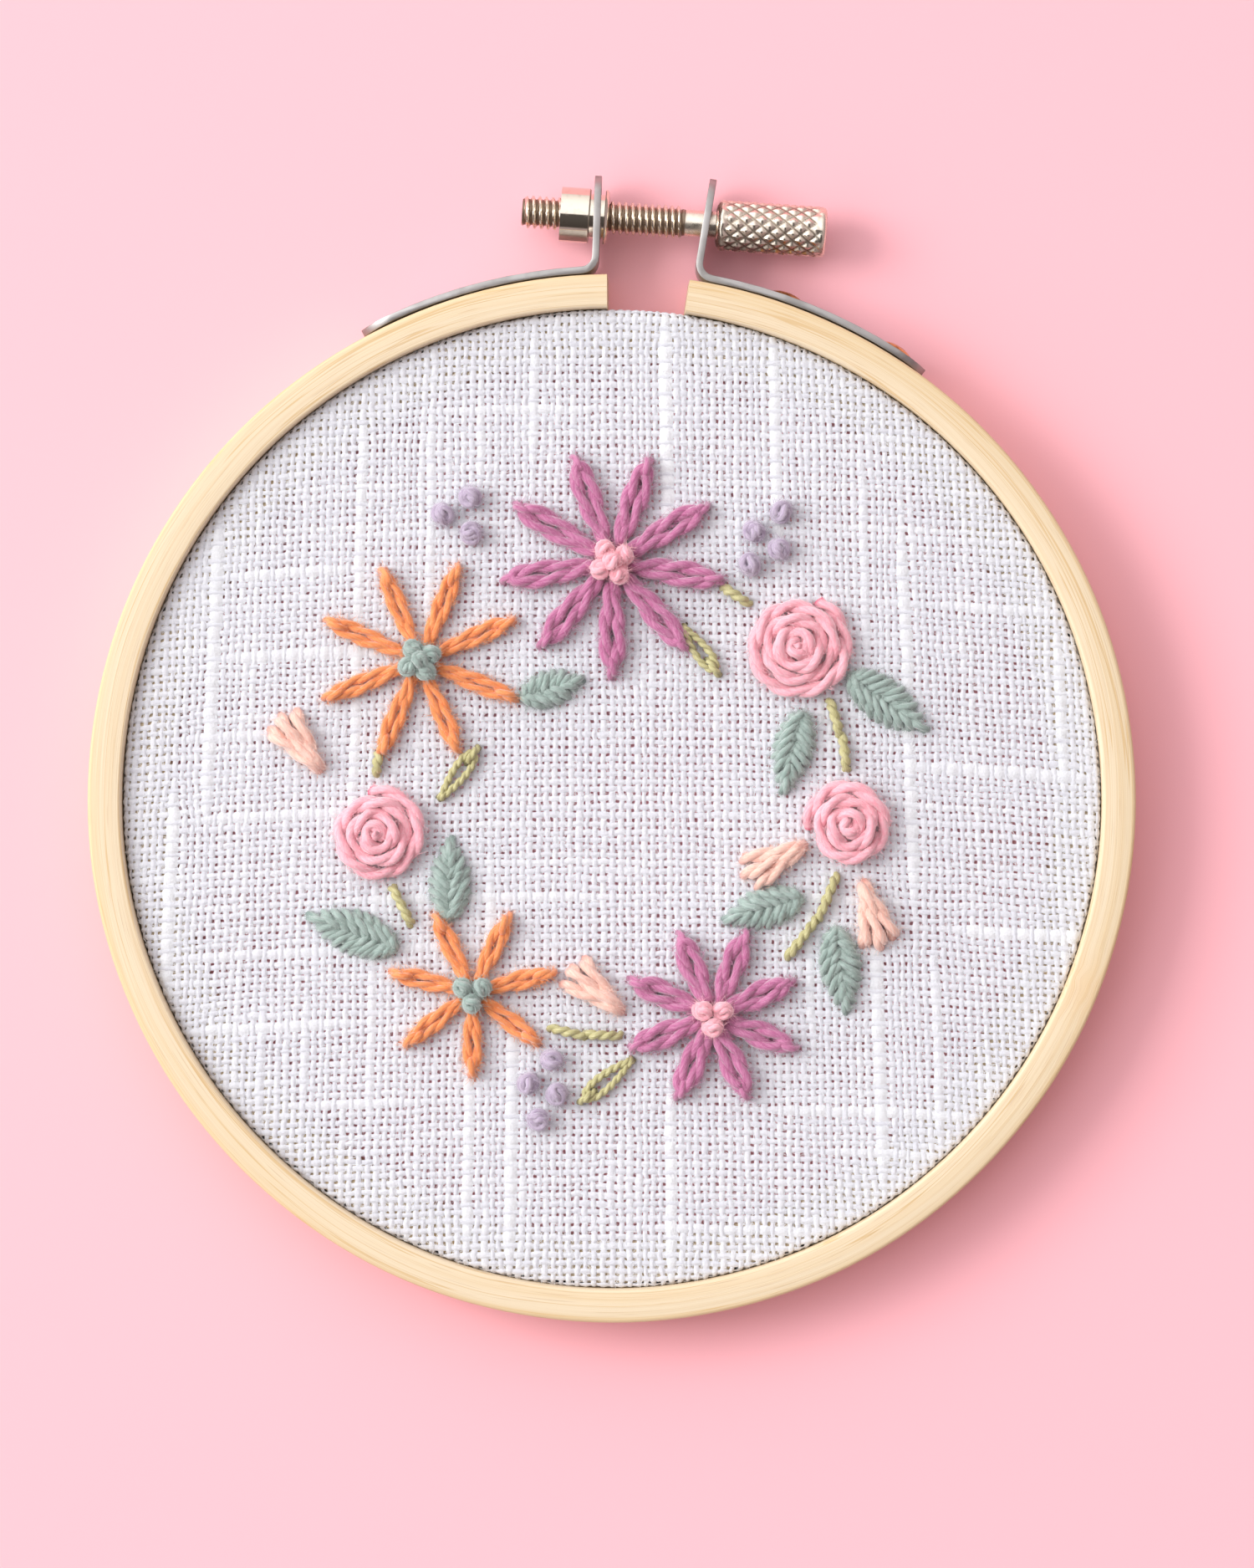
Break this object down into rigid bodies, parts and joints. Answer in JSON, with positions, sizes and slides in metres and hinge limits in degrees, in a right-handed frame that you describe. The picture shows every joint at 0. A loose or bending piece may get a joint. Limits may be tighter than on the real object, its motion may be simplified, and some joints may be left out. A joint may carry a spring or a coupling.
{
  "type": "hoop embroidery art: stitched linen stretched in a bamboo embroidery hoop",
  "caption": "Stitched floral wreath on white open linen, stretched in a round split bamboo hoop with a steel screw clasp at the top.",
  "frame": {"origin": "under the middle of the whole piece, on the surface that the hoop's back lies on", "axes": "+Z out of the stitched face, +Y from the hoop towards its clasp, X along the screw"},
  "size_m": [0.11, 0.121, 0.0103],
  "materials": {
    "bamboo": "pale bamboo, satin",
    "linen": "white open plain weave, matt",
    "steel": "satin grey steel",
    "nickel": "shiny warm nickel",
    "brass": "worn brass",
    "olive_thread": "twisted pearl cotton, soft shine",
    "plum_thread": "soft two-strand wool",
    "pink_thread": "soft two-strand wool",
    "orange_thread": "soft two-strand wool",
    "sage_thread": "soft two-strand wool",
    "peach_thread": "soft two-strand wool",
    "lavender_thread": "soft two-strand wool"
  },
  "bodies": {
    "hoop": {"clasp_plate_left": "steel", "clasp_plate_right": "steel", "cloth": "linen", "inner_ring": "bamboo", "lavender_knot_1": "lavender_thread", "lavender_knot_10": "lavender_thread", "lavender_knot_11": "lavender_thread", "lavender_knot_2": "lavender_thread", "lavender_knot_3": "lavender_thread", "lavender_knot_4": "lavender_thread", "lavender_knot_5": "lavender_thread", "lavender_knot_6": "lavender_thread", "lavender_knot_7": "lavender_thread", "lavender_knot_8": "lavender_thread", "lavender_knot_9": "lavender_thread", "olive_leaf_1": "olive_thread", "olive_leaf_2": "olive_thread", "olive_leaf_3": "olive_thread", "orange_eye_1": "sage_thread", "orange_eye_2": "sage_thread", "orange_star_1": "orange_thread", "orange_star_2": "orange_thread", "outer_ring": "bamboo", "peach_bud_1": "peach_thread", "peach_bud_2": "peach_thread", "peach_bud_3": "peach_thread", "peach_bud_4": "peach_thread", "pink_rose_1": "pink_thread", "pink_rose_2": "pink_thread", "pink_rose_3": "pink_thread", "plum_eye_1": "pink_thread", "plum_eye_2": "pink_thread", "plum_flower_1": "plum_thread", "plum_flower_2": "plum_thread", "rivet_left_far": "brass", "rivet_left_near": "brass", "rivet_right_far": "brass", "rivet_right_near": "brass", "sage_leaf_1": "sage_thread", "sage_leaf_2": "sage_thread", "sage_leaf_3": "sage_thread", "sage_leaf_4": "sage_thread", "sage_leaf_5": "sage_thread", "sage_leaf_6": "sage_thread", "sage_leaf_7": "sage_thread", "thread_bush": "nickel", "vine_1": "olive_thread", "vine_2": "olive_thread", "vine_3": "olive_thread", "vine_4": "olive_thread", "vine_5": "olive_thread", "vine_6": "olive_thread"},
    "screw": {"thumb_screw": "nickel"}
  },
  "joints": [
    {"name": "screw_turn", "type": "hinge", "parent": "hoop", "child": "screw", "pos_m": [0, 0.0558, 0.004], "axis": [1, 0, 0], "continuous": true}
  ]
}
